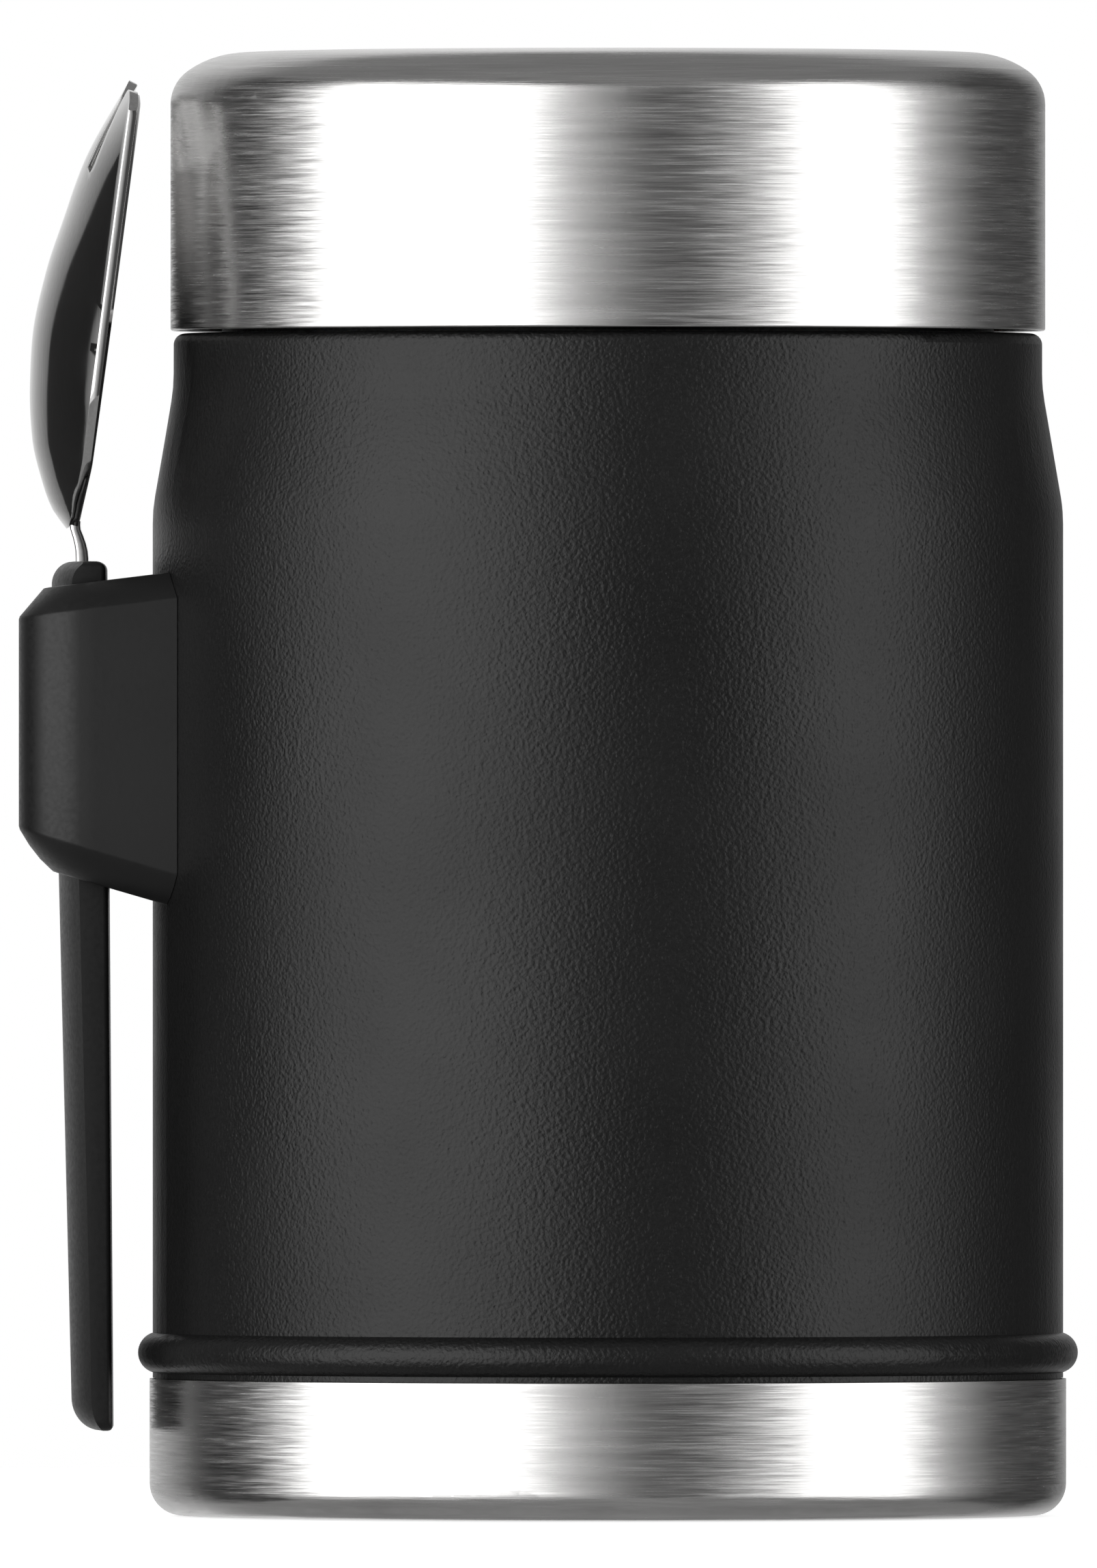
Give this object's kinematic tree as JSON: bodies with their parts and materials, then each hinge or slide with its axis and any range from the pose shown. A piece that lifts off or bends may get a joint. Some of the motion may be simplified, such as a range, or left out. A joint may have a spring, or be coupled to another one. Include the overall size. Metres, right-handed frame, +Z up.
{
  "type": "insulated food jar",
  "caption": "Vacuum-insulated cylindrical food jar with a screw-off steel cup lid, a screw stopper and a spork held in a side holder.",
  "frame": {"origin": "middle of the base's resting face, on the jar's axis", "axes": "+Z up along the jar's axis; the spork holder is on the -X side; +Y away from the picture's camera"},
  "size_m": [0.1028, 0.0914, 0.142],
  "materials": {
    "coated_steel": "black powder coat with a fine wrinkle",
    "brushed_steel": "brushed round the axis",
    "vessel_steel": "satin",
    "spork_steel": "polished",
    "black_plastic": "satin black",
    "grey_plastic": "moulded dark grey",
    "seal_rubber": "soft silicone",
    "foam": "closed-cell foam",
    "foil": "bright foil"
  },
  "bodies": {
    "jar": {"outer_shell": "coated_steel", "inner_vessel": "vessel_steel", "shell_bottom": "vessel_steel", "vacuum_plug": "vessel_steel", "getter": "vessel_steel", "reflective_foil": "foil", "base_cup": "brushed_steel", "holder_bracket": "vessel_steel", "spork_holder": "black_plastic", "holder_screws": "vessel_steel"},
    "gasket": {"stopper_gasket": "seal_rubber"},
    "stopper": {"stopper_body": "grey_plastic", "stopper_cap": "grey_plastic", "stopper_foam": "foam"},
    "seal": {"lid_seal": "seal_rubber"},
    "lid": {"lid_cup": "brushed_steel", "lid_liner": "grey_plastic", "lid_foam": "foam"},
    "spork": {"spork_head": "spork_steel", "spork_handle": "black_plastic"}
  },
  "joints": [
    {"name": "stopper_rise", "type": "slide", "parent": "jar", "child": "gasket", "axis": [0, 0, 1], "range_m": [0, 0.024]},
    {"name": "stopper_turn", "type": "hinge", "parent": "gasket", "child": "stopper", "pos_m": [0, 0, 0.13], "axis": [0, 0, 1], "range_deg": [0, 1080]},
    {"name": "lid_rise", "type": "slide", "parent": "stopper", "child": "seal", "axis": [0, 0, 1], "range_m": [0, 0.024]},
    {"name": "lid_turn", "type": "hinge", "parent": "seal", "child": "lid", "pos_m": [0, 0, 0.13], "axis": [0, 0, 1], "range_deg": [0, 1080]},
    {"name": "spork_lift", "type": "slide", "parent": "jar", "child": "spork", "axis": [0, 0, 1], "range_m": [0, 0.086]}
  ],
  "couplings": [
    {"joint": "stopper_rise", "follows": "stopper_turn", "m_per_rad": 0.0012732},
    {"joint": "lid_rise", "follows": "lid_turn", "m_per_rad": 0.0012732}
  ]
}
